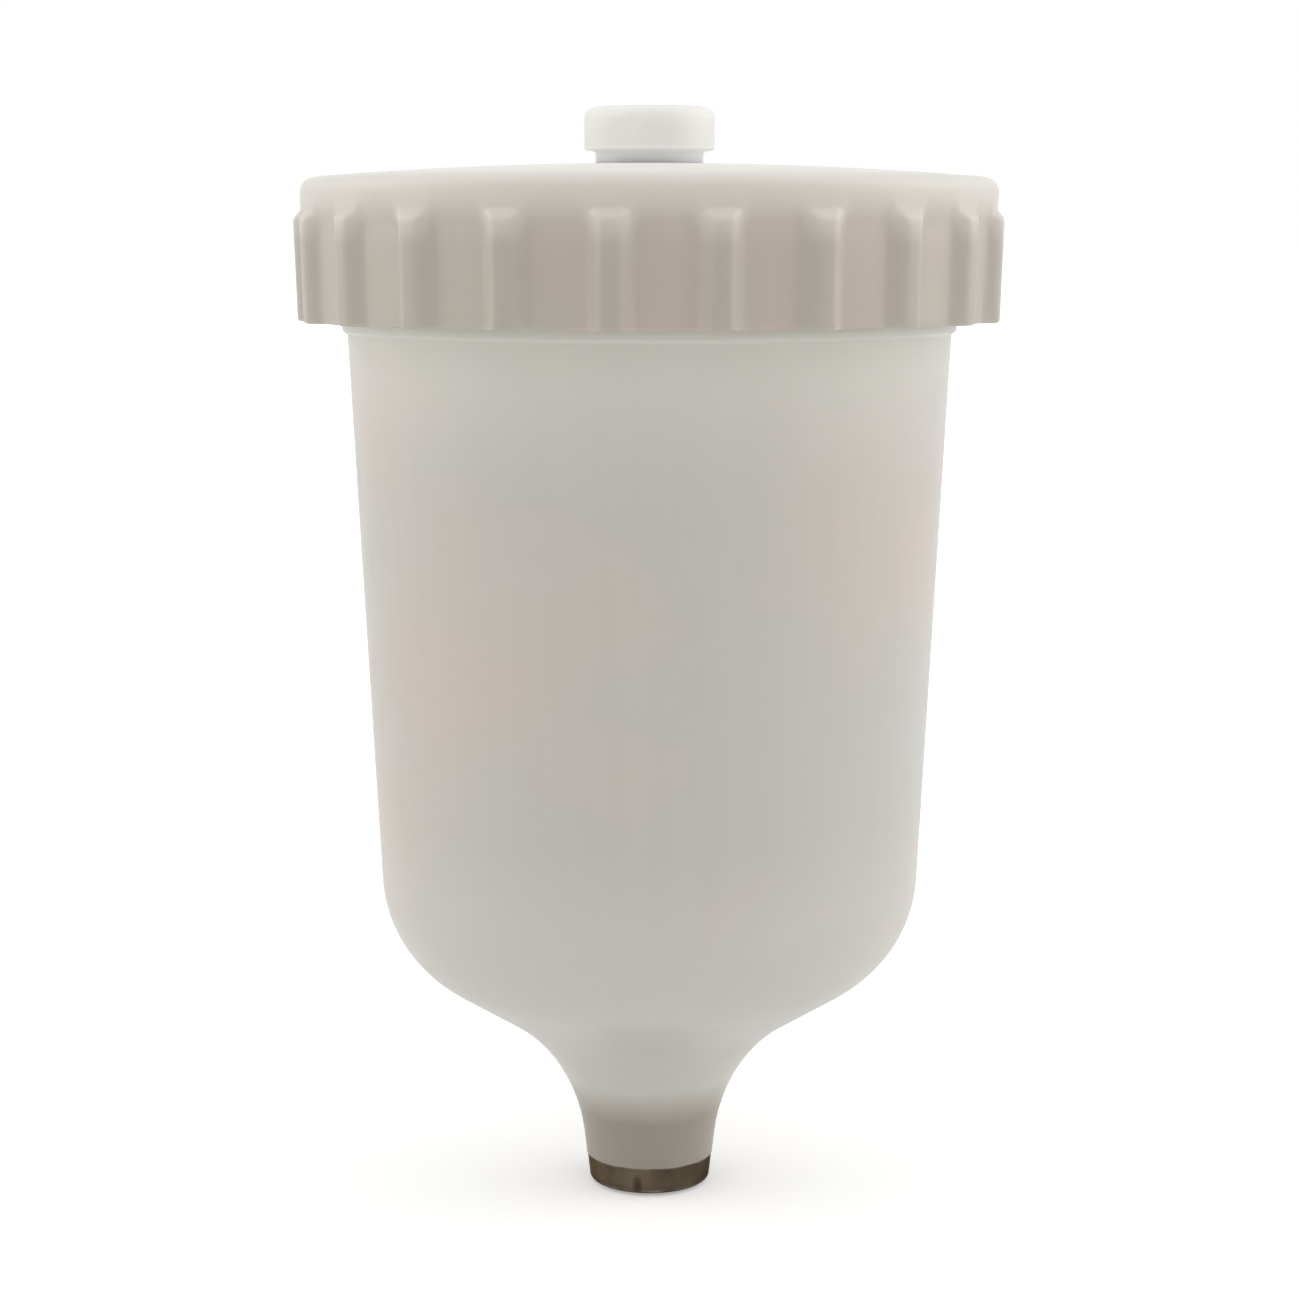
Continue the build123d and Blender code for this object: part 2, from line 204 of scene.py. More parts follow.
def vector_maths(tree, operation, first, second=(0.0, 0.0, 0.0)):
    """The outputs of a sum on vectors: the first is a vector, and Value is a number."""
    inputs = {0: first, 1: second}
    return add(tree, "ShaderNodeVectorMath", inputs, operation=operation).outputs


def graded(tree, value, low, high, at_low=0.0, at_high=1.0):
    """The value's place between low and high, clamped, as a share from at_low to at_high."""
    inputs = {"Value": value, "From Min": low, "From Max": high}
    inputs |= {"To Min": at_low, "To Max": at_high}
    return add(tree, "ShaderNodeMapRange", inputs).outputs[0]


def mottle(tree, place, scale, detail=2.0, roughness=0.5):
    inputs = {"Vector": place, "Scale": scale, "Detail": detail, "Roughness": roughness}
    return add(tree, "ShaderNodeTexNoise", inputs).outputs["Fac"]


def over(tree, share, under, top):
    """One colour laid over another by a share."""
    return add(tree, "ShaderNodeMix", {0: share, 6: under, 7: top}, data_type="RGBA").outputs[2]


def bumped(tree, height, depth, strength=1.0):
    """A normal from a height, of which a step of 1 stands as high as the depth."""
    inputs = {"Height": height, "Distance": depth, "Strength": strength}
    return add(tree, "ShaderNodeBump", inputs).outputs[0]


def shader_group(name, inputs, outputs):
    """An empty shader group, with its input node's outputs and its output node's inputs."""
    group = bpy.data.node_groups.new(name, "ShaderNodeTree")
    for label, kind, value in inputs:
        group.interface.new_socket(label, in_out="INPUT", socket_type=kind).default_value = value
    for label, kind in outputs:
        group.interface.new_socket(label, in_out="OUTPUT", socket_type=kind)
    return group, add(group, "NodeGroupInput").outputs, add(group, "NodeGroupOutput").inputs


def cup_axis_group():
    """Where a point is on the cup: radius and height in mm, and the plain object coordinates."""
    outputs = [
        ("Radius", "NodeSocketFloat"),
        ("Height", "NodeSocketFloat"),
        ("Place", "NodeSocketVector"),
    ]
    group, _, given = shader_group("cup_axis", [], outputs)
    place = add(group, "ShaderNodeTexCoord").outputs["Object"]
    parts = add(group, "ShaderNodeSeparateXYZ", {0: place}).outputs
    flat = add(group, "ShaderNodeCombineXYZ", {0: parts[0], 1: parts[1]}).outputs[0]
    length = vector_maths(group, "LENGTH", flat)["Value"]
    group.links.new(maths(group, "DIVIDE", length, MM), given["Radius"])
    group.links.new(maths(group, "DIVIDE", parts[2], MM), given["Height"])
    group.links.new(place, given["Place"])
    return group


def worn_edge_group():
    """A mask along one turned edge, a circle at a radius and height in mm, broken up as wear is."""
    inputs = [
        ("Edge Radius", "NodeSocketFloat", 10.0),
        ("Edge Height", "NodeSocketFloat", 0.0),
        ("Width", "NodeSocketFloat", 0.5),
    ]
    group, asked, given = shader_group("worn_edge", inputs, [("Wear", "NodeSocketFloat")])
    spot = add(group, "ShaderNodeGroup", node_tree=cup_axis).outputs
    out = maths(group, "SUBTRACT", spot["Radius"], asked["Edge Radius"])
    up = maths(group, "SUBTRACT", spot["Height"], asked["Edge Height"])
    squares = [maths(group, "MULTIPLY", away, away) for away in (out, up)]
    off = maths(group, "SQRT", maths(group, "ADD", *squares))
    near = maths(group, "SUBTRACT", 1.0, maths(group, "DIVIDE", off, asked["Width"]), clamp=True)
    patchy = graded(group, mottle(group, spot["Place"], WEAR_SCALE, 4.0), *WEAR_RANGE)
    group.links.new(maths(group, "MULTIPLY", near, patchy), given["Wear"])
    return group


cup_axis = cup_axis_group()
worn_edge = worn_edge_group()


def wear_along(tree, edges):
    """The wear on several turned edges together, each (radius, height, width)."""
    total = 0.0
    for edge in edges:
        wear = add(tree, "ShaderNodeGroup", node_tree=worn_edge)
        for socket, value in zip(wear.inputs, edge):
            socket.default_value = value
        total = maths(tree, "ADD", total, wear.outputs["Wear"], clamp=True)
    return total


def new_material(name):
    """A material, its node tree and the inputs of its surface shader."""
    material = bpy.data.materials.new(name)
    material.use_nodes = True
    tree = material.node_tree
    return material, tree, tree.nodes["Principled BSDF"].inputs


def dull_metal():
    """Dark turned metal: rings from the lathe, stains, darker towards the foot, a smear, bare
    edges.
    """
    material, tree, surface = new_material("dull_dark_metal")
    spot = add(tree, "ShaderNodeGroup", node_tree=cup_axis).outputs
    rings_place = vector_maths(tree, "MULTIPLY", spot["Place"], LATHE_RING_STRETCH)[0]
    rings = mottle(tree, rings_place, LATHE_RING_SCALE, 3.0)
    stain = graded(tree, mottle(tree, spot["Place"], STAIN_SCALE, 3.0), *STAIN_RANGE)
    colour = over(tree, stain, from_srgb(*METAL), from_srgb(*METAL_STAIN))
    bright_ring = graded(tree, rings, *BRIGHT_RING_RANGE, 0.0, BRIGHT_RING_SHARE)
    colour = over(tree, bright_ring, colour, from_srgb(*METAL_RING))
    # The collar is darker over its last 1.6 mm towards the outlet.
    low_down = graded(tree, spot["Height"], FOOT_DARK_TOP_Z, FOOT_DARK_FULL_Z, 0.0, FOOT_DARK_SHARE)
    colour = over(tree, low_down, colour, from_srgb(*METAL_FOOT_DARK))
    wear = wear_along(tree, WORN_METAL_EDGES)
    colour = over(tree, wear, colour, from_srgb(*METAL_WORN))
    from_smear = vector_maths(tree, "SUBTRACT", spot["Place"], SMEAR_PLACE)[0]
    in_reach = vector_maths(tree, "DIVIDE", from_smear, SMEAR_REACH)[0]
    ragged = graded(tree, rings, *NOISE_MIDDLE, -SMEAR_RAGGED, SMEAR_RAGGED)
    off_centre = maths(tree, "ADD", vector_maths(tree, "LENGTH", in_reach)["Value"], ragged)
    smear = graded(tree, off_centre, 1.0, SMEAR_CORE, 0.0, SMEAR_SHARE)
    colour = over(tree, smear, colour, from_srgb(*METAL_SMEAR))
    tree.links.new(colour, surface["Base Color"])
    surface["Metallic"].default_value = METALLIC
    surface["Specular Tint"].default_value = METAL_REFLECTION
    rough_by_stain = graded(tree, stain, 0.0, 1.0, *METAL_ROUGHNESS)
    rough_by_ring = graded(tree, rings, *NOISE_MIDDLE, -RING_ROUGHNESS, RING_ROUGHNESS)
    tree.links.new(maths(tree, "ADD", rough_by_stain, rough_by_ring), surface["Roughness"])
    normal = bumped(tree, rings, LATHE_RING_DEPTH, LATHE_RING_BUMP)
    tree.links.new(normal, surface["Normal"])
    return material


bush = finished_piece("threaded_bush", threaded_bush(), dull_metal(), "cup")
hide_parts("outlet_insert")


# Cup body: one moulding of milky translucent nylon, thick enough to hide what is inside it.
# It is injected round the metal insert, which darkens the neck where the barrel stands
# behind the wall. The coarse thread at its rim takes the lid.

NECK_FOOT_R = 10.07
RIM_Z = 153.6
RIM_OUTER_R = 47.15
RIM_BORE_R = 45.14
WORN_NYLON_EDGES = (
    (RIM_OUTER_R, RIM_Z, 0.7),
    (RIM_BORE_R, RIM_Z, 0.7),
    (NECK_FOOT_R, COLLAR_H, 0.3),
)
BOWL_PAINTED_LIGHT_FROM_Z = 62.0
BOWL_PAINTED_LIGHT_FULL_Z = 34.0
BOWL_PAINTED_LIGHT_SHARE = 0.8
UNDER_LID_PAINTED_LIGHT_FROM_Z = 108.0
UNDER_LID_PAINTED_LIGHT_FULL_Z = 136.0
BARREL_SHADE_FROM_Z = 18.0
BARREL_SHADE_FULL_Z = 11.8
BARREL_SHADE_SHARE = 0.85
BARREL_EDGE_WAVE = 0.5
BARREL_EDGE_SCALE = 110.0
NYLON = (198, 198, 192)
NYLON_PATCH = (205, 196, 189)
NYLON_BOWL_PAINTED_LIGHT = (214, 212, 206)
NYLON_UNDER_LID_PAINTED_LIGHT = (221, 219, 212)
NYLON_OVER_BARREL = (151, 142, 130)
WORN_PLASTIC = (236, 235, 230)
WEAR_ROUGHNESS = 0.15
PATCH_RANGE = (0.36, 0.64)
FLOW_LINE_SCALE = 330.0
FLOW_LINE_STRETCH = (1.0, 1.0, 0.03)
SCUFF_SCALE = 170.0
SCUFF_RANGE = (0.55, 0.72)
SCUFF_ROUGHNESS = 0.14
PEEL_SCALE = 1500.0
RIPPLE_SCALE = 220.0
RIPPLE_BY_PEEL = 1.6
SPREAD_BY_COLOUR = (1.0, 0.94, 0.82)


def moulded_skin_group():
    """Pale moulded plastic: soft patches of a second colour, faint flow lines, orange peel."""
    inputs = [
        ("Colour", "NodeSocketColor", (0.8, 0.8, 0.8, 1.0)),
        ("Patch Colour", "NodeSocketColor", (0.7, 0.7, 0.7, 1.0)),
        ("Patch Size", "NodeSocketFloat", 30.0),
        ("Flow", "NodeSocketFloat", 0.05),
        ("Roughness", "NodeSocketFloat", 0.4),
        ("Peel Depth", "NodeSocketFloat", 0.01),
    ]
    outputs = [
        ("Colour", "NodeSocketColor"),
        ("Roughness", "NodeSocketFloat"),
        ("Normal", "NodeSocketVector"),
    ]
    group, asked, given = shader_group("moulded_skin", inputs, outputs)
    place = add(group, "ShaderNodeGroup", node_tree=cup_axis).outputs["Place"]
    patch_scale = maths(group, "DIVIDE", 1 / MM, asked["Patch Size"])
    patch = graded(group, mottle(group, place, patch_scale), *PATCH_RANGE)
    colour = over(group, patch, asked["Colour"], asked["Patch Colour"])
    drawn = vector_maths(group, "MULTIPLY", place, FLOW_LINE_STRETCH)[0]
    lines = maths(group, "SUBTRACT", mottle(group, drawn, FLOW_LINE_SCALE), 0.5)
    lightness = maths(group, "ADD", 1.0, maths(group, "MULTIPLY", lines, asked["Flow"]))
    lit_inputs = {"Value": lightness, "Color": colour}
    colour = add(group, "ShaderNodeHueSaturation", lit_inputs).outputs[0]
    group.links.new(colour, given["Colour"])
    scuffs = graded(group, mottle(group, place, SCUFF_SCALE, 6.0, 0.6), *SCUFF_RANGE)
    rougher = maths(group, "MULTIPLY", scuffs, SCUFF_ROUGHNESS)
    group.links.new(maths(group, "ADD", asked["Roughness"], rougher), given["Roughness"])
    peel = mottle(group, place, PEEL_SCALE)
    ripple = mottle(group, place, RIPPLE_SCALE, 1.0)
    ripple = maths(group, "MULTIPLY", ripple, RIPPLE_BY_PEEL)
    height = maths(group, "ADD", peel, maths(group, "ADD", ripple, scuffs))
    depth = maths(group, "MULTIPLY", asked["Peel Depth"], MM)
    group.links.new(bumped(group, height, depth), given["Normal"])
    return group


moulded_skin = moulded_skin_group()


def moulded_plastic(name, colour, patch_colour, edges, patch_size, flow, roughness, peel):
    """A material of moulded plastic, with paler, rougher wear along its turned edges."""
    material, tree, surface = new_material(name)
    skin = add(tree, "ShaderNodeGroup", node_tree=moulded_skin)
    values = (from_srgb(*colour), from_srgb(*patch_colour), patch_size, flow, roughness, peel)
    for socket, value in zip(skin.inputs, values):
        socket.default_value = value
    given = skin.outputs
    tree.links.new(given["Normal"], surface["Normal"])
    wear = wear_along(tree, edges)
    worn_colour = over(tree, wear, given["Colour"], from_srgb(*WORN_PLASTIC))
    tree.links.new(worn_colour, surface["Base Color"])
    rougher = maths(tree, "MULTIPLY", wear, WEAR_ROUGHNESS)
    tree.links.new(maths(tree, "ADD", given["Roughness"], rougher), surface["Roughness"])
    return material, tree, surface


def lay_over(tree, surface, share, colour):
    """Lays one more colour over what already feeds the surface."""
    under = surface["Base Color"].links[0].from_socket
    tree.links.new(over(tree, share, under, from_srgb(*colour)), surface["Base Color"])


def milky(surface, share, depth):
    """Lets light pass into the plastic: depth is how far it spreads, in mm."""
    surface["Subsurface Weight"].default_value = share
    surface["Subsurface Radius"].default_value = SPREAD_BY_COLOUR
    surface["Subsurface Scale"].default_value = depth * MM


def milky_nylon():
    """The cup's plastic: painted light on the bowl and under the lid, darker where the insert is
    behind.
    """
    material, tree, surface = moulded_plastic(
        "milky_nylon",
        NYLON,
        NYLON_PATCH,
        WORN_NYLON_EDGES,
        patch_size=45.0,
        flow=0.05,
        roughness=0.4,
        peel=0.015,
    )
    spot = add(tree, "ShaderNodeGroup", node_tree=cup_axis).outputs
    height = spot["Height"]
    # Painted light: the bowl is painted paler from 62 mm down to 34 mm.
    painted_light_at_bowl = graded(tree, height, BOWL_PAINTED_LIGHT_FROM_Z, BOWL_PAINTED_LIGHT_FULL_Z, 0.0, BOWL_PAINTED_LIGHT_SHARE)
    lay_over(tree, surface, painted_light_at_bowl, NYLON_BOWL_PAINTED_LIGHT)
    # Painted light: the wall is painted paler up to the lid, lifting the shadow under its skirt.
    painted_light_under_lid = graded(tree, height, UNDER_LID_PAINTED_LIGHT_FROM_Z, UNDER_LID_PAINTED_LIGHT_FULL_Z)
    lay_over(tree, surface, maths(tree, "MULTIPLY", painted_light_under_lid, painted_light_under_lid), NYLON_UNDER_LID_PAINTED_LIGHT)
    edge_noise = mottle(tree, spot["Place"], BARREL_EDGE_SCALE, 1.0)
    uneven = graded(tree, edge_noise, *NOISE_MIDDLE, -BARREL_EDGE_WAVE, BARREL_EDGE_WAVE)
    wavy_height = maths(tree, "ADD", height, uneven)
    behind = graded(tree, wavy_height, BARREL_SHADE_FROM_Z, BARREL_SHADE_FULL_Z)
    at_barrel = maths(tree, "MULTIPLY", behind, BARREL_SHADE_SHARE)
    lay_over(tree, surface, at_barrel, NYLON_OVER_BARREL)
    milky(surface, share=0.35, depth=3.0)
    return material


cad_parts["cup_body"].material_slots[0].material = milky_nylon()


# Paint strainer: a cage moulded in white nylon that stands in the throat, on the insert.
# Its tab is for pulling it out. The woven gauze sleeve inside the cage holds back lumps.

SLEEVE_R = 5.05
SLEEVE_FOOT = 14.6
SLEEVE_TOP = 45.2
WIRE_THICKNESS = 0.13
WIRE_WAVE = 0.045
WIRE_SIDES = 4
UPRIGHT_COUNT = 60
RING_COUNT = 57
CAGE_R = 6.3
CAGE_TOP = 46.8
WORN_CAGE_EDGES = ((CAGE_R, CAGE_TOP, 0.4), (CAGE_R, SLEEVE_FOOT, 0.4))
GAUZE = (222, 220, 212)
GAUZE_PATCH = (205, 202, 192)
CAGE = (226, 225, 219)
CAGE_PATCH = (216, 213, 204)


def geometry_tree(name, inputs):
    """An empty Geometry Nodes tree, with its input node's outputs and its output node."""
    tree = bpy.data.node_groups.new(name, "GeometryNodeTree")
    for label, kind in inputs:
        tree.interface.new_socket(label, in_out="INPUT", socket_type=kind)
    tree.interface.new_socket("Geometry", in_out="OUTPUT", socket_type="NodeSocketGeometry")
    return tree, add(tree, "NodeGroupInput").outputs, add(tree, "NodeGroupOutput")


def close_tree(tree, geometry, material, out):
    """Ends a tree: copies made real, shaded smooth and given their material."""
    real = add(tree, "GeometryNodeRealizeInstances", {0: geometry}).outputs[0]
    smooth = add(tree, "GeometryNodeSetShadeSmooth", {"Geometry": real}).outputs[0]
    painted_inputs = {"Geometry": smooth, "Material": material}
    painted = add(tree, "GeometryNodeSetMaterial", painted_inputs).outputs[0]
    tree.links.new(painted, out.inputs[0])


def grown(name, tree, values, start=None):
    """Runs a Geometry Nodes tree on a piece and keeps what it makes as a plain mesh."""
    piece = bpy.data.objects.new(name, start or bpy.data.meshes.new(name))
    bpy.context.scene.collection.objects.link(piece)
    modifier = piece.modifiers.new(name, "NODES")
    modifier.node_group = tree
    for item in tree.interface.items_tree:
        if item.in_out == "INPUT" and item.name in values:
            modifier[item.identifier] = values[item.name]
    graph = bpy.context.evaluated_depsgraph_get()
    mesh = bpy.data.meshes.new_from_object(piece.evaluated_get(graph))
    piece.modifiers.remove(modifier)
    return mesh


def woven_sleeve_tree():
    """Upright wires and rings that pass over and under each other on a cylinder."""
    kinds = [
        ("Radius", "NodeSocketFloat"),
        ("Foot", "NodeSocketFloat"),
        ("Height", "NodeSocketFloat"),
        ("Wave", "NodeSocketFloat"),
        ("Wire Radius", "NodeSocketFloat"),
        ("Uprights", "NodeSocketInt"),
        ("Rings", "NodeSocketInt"),
        ("Material", "NodeSocketMaterial"),
    ]
    tree, asked, out = geometry_tree("woven_sleeve", kinds)
    index = add(tree, "GeometryNodeInputIndex").outputs[0]
    wire_inputs = {"Resolution": WIRE_SIDES, "Radius": asked["Wire Radius"]}
    wire = add(tree, "GeometryNodeCurvePrimitiveCircle", wire_inputs).outputs[0]
    turn_step = maths(tree, "DIVIDE", 2 * pi, asked["Uprights"])
    rise = maths(tree, "DIVIDE", asked["Height"], maths(tree, "ADD", asked["Rings"], 1.0))

    def placed(shape, copies, per_copy, upright):
        """Copies of one wire, each point moved to its place on the cylinder by its number."""
        line = add(tree, "GeometryNodeMeshLine", {"Count": copies}).outputs[0]
        many_inputs = {"Points": line, "Instance": shape}
        many = add(tree, "GeometryNodeInstanceOnPoints", many_inputs).outputs[0]
        real = add(tree, "GeometryNodeRealizeInstances", {0: many}).outputs[0]
        off_the_step = maths(tree, "ADD", index, 0.5)
        copy = maths(tree, "FLOOR", maths(tree, "DIVIDE", off_the_step, per_copy))
        along = maths(tree, "SUBTRACT", index, maths(tree, "MULTIPLY", copy, per_copy))
        crossing = maths(tree, "ADD", copy, along)
        over_under = maths(tree, "COSINE", maths(tree, "MULTIPLY", crossing, pi))
        side = asked["Wave"] if upright else maths(tree, "MULTIPLY", asked["Wave"], -1.0)
        radius = maths(tree, "ADD", asked["Radius"], maths(tree, "MULTIPLY", over_under, side))
        turn = maths(tree, "MULTIPLY", copy if upright else along, turn_step)
        level = along if upright else maths(tree, "ADD", copy, 1.0)
        place = {
            0: maths(tree, "MULTIPLY", radius, maths(tree, "COSINE", turn)),
            1: maths(tree, "MULTIPLY", radius, maths(tree, "SINE", turn)),
            2: maths(tree, "ADD", asked["Foot"], maths(tree, "MULTIPLY", level, rise)),
        }
        point = add(tree, "ShaderNodeCombineXYZ", place).outputs[0]
        moved_inputs = {"Geometry": real, "Position": point}
        moved = add(tree, "GeometryNodeSetPosition", moved_inputs).outputs[0]
        curve = add(tree, "GeometryNodeMeshToCurve", {"Mesh": moved}).outputs[0]
        inputs = {"Curve": curve, "Profile Curve": wire, "Fill Caps": True}
        return add(tree, "GeometryNodeCurveToMesh", inputs).outputs[0]

    stops = maths(tree, "ADD", asked["Rings"], 2.0)
    upright = add(tree, "GeometryNodeMeshLine", {"Count": stops}).outputs[0]
    hoop = add(tree, "GeometryNodeMeshCircle", {"Vertices": asked["Uprights"]}).outputs[0]
    both = add(tree, "GeometryNodeJoinGeometry")
    tree.links.new(placed(upright, asked["Uprights"], stops, True), both.inputs[0])
    tree.links.new(placed(hoop, asked["Rings"], asked["Uprights"], False), both.inputs[0])
    close_tree(tree, both.outputs[0], asked["Material"], out)
    return tree


def gauze_wire():
    """Pale nylon monofilament, a little glossy, and duller in patches."""
    material, _, surface = moulded_plastic(
        "nylon_gauze",
        GAUZE,
        GAUZE_PATCH,
        (),
        patch_size=6.0,
        flow=0.1,
        roughness=0.3,
        peel=0.004,
    )
    milky(surface, share=0.2, depth=0.2)
    return material


sleeve_sizes = {
    "Radius": SLEEVE_R * MM,
    "Foot": SLEEVE_FOOT * MM,
    "Height": (SLEEVE_TOP - SLEEVE_FOOT) * MM,
    "Wave": WIRE_WAVE * MM,
    "Wire Radius": WIRE_THICKNESS / 2 * MM,
    "Uprights": UPRIGHT_COUNT,
    "Rings": RING_COUNT,
    "Material": gauze_wire(),
}
sleeve_mesh = grown("gauze_sleeve", woven_sleeve_tree(), sleeve_sizes)
sleeve = finished_piece(
    "gauze_sleeve",
    sleeve_mesh,
    sleeve_sizes["Material"],
    "strainer",
    crease_deg=60,
)
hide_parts("strainer_mesh")


def cage_nylon():
    """White nylon, satin from the mould, with wear along the cage's two end rims."""
    material, _, surface = moulded_plastic(
        "cage_nylon",
        CAGE,
        CAGE_PATCH,
        WORN_CAGE_EDGES,
        patch_size=9.0,
        flow=0.04,
        roughness=0.45,
        peel=0.01,
    )
    milky(surface, share=0.25, depth=1.0)
    return material


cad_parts["strainer_frame"].material_slots[0].material = cage_nylon()


# Lid gasket: a flat ring die-cut from closed-cell foam, held in the lid by its own grip.
# The rim presses a shallow track into it.

TRACK_INNER_R = 45.2
TRACK_OUTER_R = 47.1
TRACK_FADE = 0.3
TRACK_SHARE = 0.35
TRACK_IN_CELL_DEPTHS = 1.5
FOAM_CELL_SCALE = 2600.0
FOAM_CELL_RANGE = (0.15, 0.55)
FOAM_CELL_DEPTH = 0.08 * MM
FOAM_CELL_BUMP = 0.7
FOAM_SOIL_SCALE = 90.0
FOAM_SOIL_SHARE = 0.3
FOAM_ROUGHNESS = 0.85
TRACK_ROUGHNESS = 0.55
FOAM_CELL = (205, 203, 197)
FOAM_CELL_WALL = (228, 227, 222)
FOAM_SOILED = (190, 184, 172)
FOAM_TRACK = (184, 181, 174)


def gasket_foam():
    """Closed-cell foam: fine cells on its faces, and a smoother, greyer track from the rim."""
    material, tree, surface = new_material("gasket_foam")
    spot = add(tree, "ShaderNodeGroup", node_tree=cup_axis).outputs
    cells_inputs = {"Vector": spot["Place"], "Scale": FOAM_CELL_SCALE}
    cells = add(tree, "ShaderNodeTexVoronoi", cells_inputs).outputs["Distance"]
    walls = graded(tree, cells, *FOAM_CELL_RANGE)
    colour = over(tree, walls, from_srgb(*FOAM_CELL), from_srgb(*FOAM_CELL_WALL))
    soil = mottle(tree, spot["Place"], FOAM_SOIL_SCALE, 3.0)
    soiled = graded(tree, soil, *STAIN_RANGE, 0.0, FOAM_SOIL_SHARE)
    colour = over(tree, soiled, colour, from_srgb(*FOAM_SOILED))
    rise = graded(tree, spot["Radius"], TRACK_INNER_R - TRACK_FADE, TRACK_INNER_R)
    fall = graded(tree, spot["Radius"], TRACK_OUTER_R + TRACK_FADE, TRACK_OUTER_R)
    track = maths(tree, "MULTIPLY", rise, fall)
    track_share = maths(tree, "MULTIPLY", track, TRACK_SHARE)
    colour = over(tree, track_share, colour, from_srgb(*FOAM_TRACK))
    tree.links.new(colour, surface["Base Color"])
    rough = graded(tree, track, 0.0, 1.0, FOAM_ROUGHNESS, TRACK_ROUGHNESS)
    tree.links.new(rough, surface["Roughness"])
    sunk = maths(tree, "MULTIPLY", track, TRACK_IN_CELL_DEPTHS)
    height = maths(tree, "SUBTRACT", walls, sunk)
    tree.links.new(bumped(tree, height, FOAM_CELL_DEPTH, FOAM_CELL_BUMP), surface["Normal"])
    return material


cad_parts["lid_gasket"].material_slots[0].material = gasket_foam()


# Lid: a screw cap moulded in white polyethylene. Its flat dome turns down over a soft
# shoulder to a skirt with 22 grip ribs, and the pockets between them fade into the shoulder.
# Under the dome are the guide ring, the gasket's seat and the vent boss.

DOME_Z = 160.7
SHOULDER_R = 53.25
SHOULDER_Z = 158.4
SHOULDER_ROUND = 2.2
SHOULDER_FOOT_Z = 153.7
PANEL_FOOT_R = 52.0
PANEL_TOP_R = 52.35
LID_FOOT_Z = 136.9
POCKET_TOP_Z = 152.3
POCKET_CORNER_ROUND = 1.3
POCKET_TOP_SLOPE = 0.45
SKIRT_EDGE_ROUND = 0.5
SKIRT_EDGE_STEPS = 4
RIB_COUNT = 22
RIB_PHASE = radians(-95.77)
RIB_FOOT_DEPTH = 2.0
RIB_TOP_DEPTH = 2.15
RIB_TOP_Z = 154.2
RIB_TOP_ROUND = 2.6
RIB_TOP_FALL = 9.0
RIB_CAP_HALF = 3.75
RIB_CAP_Z = 154.5
RIB_CAP_ROUND = 2.3
RIB_BASE_HALF = 3.3
RIB_FLANK_SLOPE = 1.15
RIB_BLEND = 0.7
RIB_CREST_BLEND = 1.0
SHOULDER_BLEND = 0.35
FLANK_FROM_H = 0.5
FLANK_END_H = 1.2 * RIB_TOP_DEPTH
POCKET_END_H = 0.9
LID_BORE_R = 49.4
WORN_LID_EDGES = ((SHOULDER_R, LID_FOOT_Z, 0.8), (LID_BORE_R, LID_FOOT_Z, 0.6))
LID_MOUTH_CHAMFER = 0.6
SEAT_Z = 155.1
GUIDE_OUTER_R = 44.64
GUIDE_BORE_R = 43.24
GUIDE_FOOT_Z = 151.5
GUIDE_EDGE = 0.4
CEILING_Z = 158.5
CEILING_EDGE_Z = 157.03
CEILING_BREAK_R = 25.53
CEILING_ROUND = 1.0
BOSS_R = 7.4
BOSS_FOOT_Z = 150.5
PLUG_BORE_R = 5.08
DOME_CORNER_R = 25.525
DOME_ROUND = 598.0
SEAM_REACH = 0.003
COLUMN_STOPS = np.array(
    [0, 0.55, 1.0, 1.3, 1.55, 1.8, 2.05, 2.35, 2.7, 3.0, 3.3, 3.65, 4.1, 4.8, 5.6, 6.5]
)
SKIRT_HEIGHTS = np.array(
    [138.2, 140.0, 142.4, 144.8, 147.0, 148.6, 149.6, 150.3, 150.8, 151.2, 151.55, 151.85, 152.1]
    + [152.3, 152.5, 152.7, 152.9, 153.1, 153.3, 153.5, 153.7, 153.9, 154.1, 154.4, 154.9, 155.8]
)
RIB_SHADE_FROM_Z = 152.5
RIB_SHADE_FULL_Z = 148.5
RIB_SHADE_SHARE = 0.9
FLANK_PAINTED_LIGHT_SHARE = 0.2
CAP_PAINTED_LIGHT_FROM_Z = 148.8
CAP_PAINTED_LIGHT_FULL_Z = 152.5
CAP_PAINTED_LIGHT_SHARE = 0.75
SHOULDER_PAINTED_LIGHT_FROM_Z = 148.5
SHOULDER_PAINTED_LIGHT_FULL_Z = 155.5
SHOULDER_PAINTED_LIGHT_SHARE = 0.5
DOME_PAINTED_LIGHT_POWER = 5.0
LID_SKIRT = (191, 186, 175)
LID_SKIRT_PATCH = (195, 183, 175)
LID_RIB_PAINTED_SHADE = (186, 179, 169)
LID_RIB_CAP_PAINTED_LIGHT = (216, 211, 202)
LID_RIB_FLANK_PAINTED_LIGHT = (212, 206, 196)
LID_SHOULDER_PAINTED_LIGHT = (207, 201, 192)
LID_DOME_PAINTED_LIGHT = (236, 234, 230)
LID_INSIDE_PAINTED_LIGHT = (234, 231, 225)


def soft_min(first, second, reach):
    """The lesser of two heights, with a round where they come nearer than the reach."""
    near = np.maximum(reach - np.abs(first - second), 0)
    return np.minimum(first, second) - near**2 / (4 * reach)


def soft_max(first, second, reach):
    return -soft_min(-first, -second, reach)


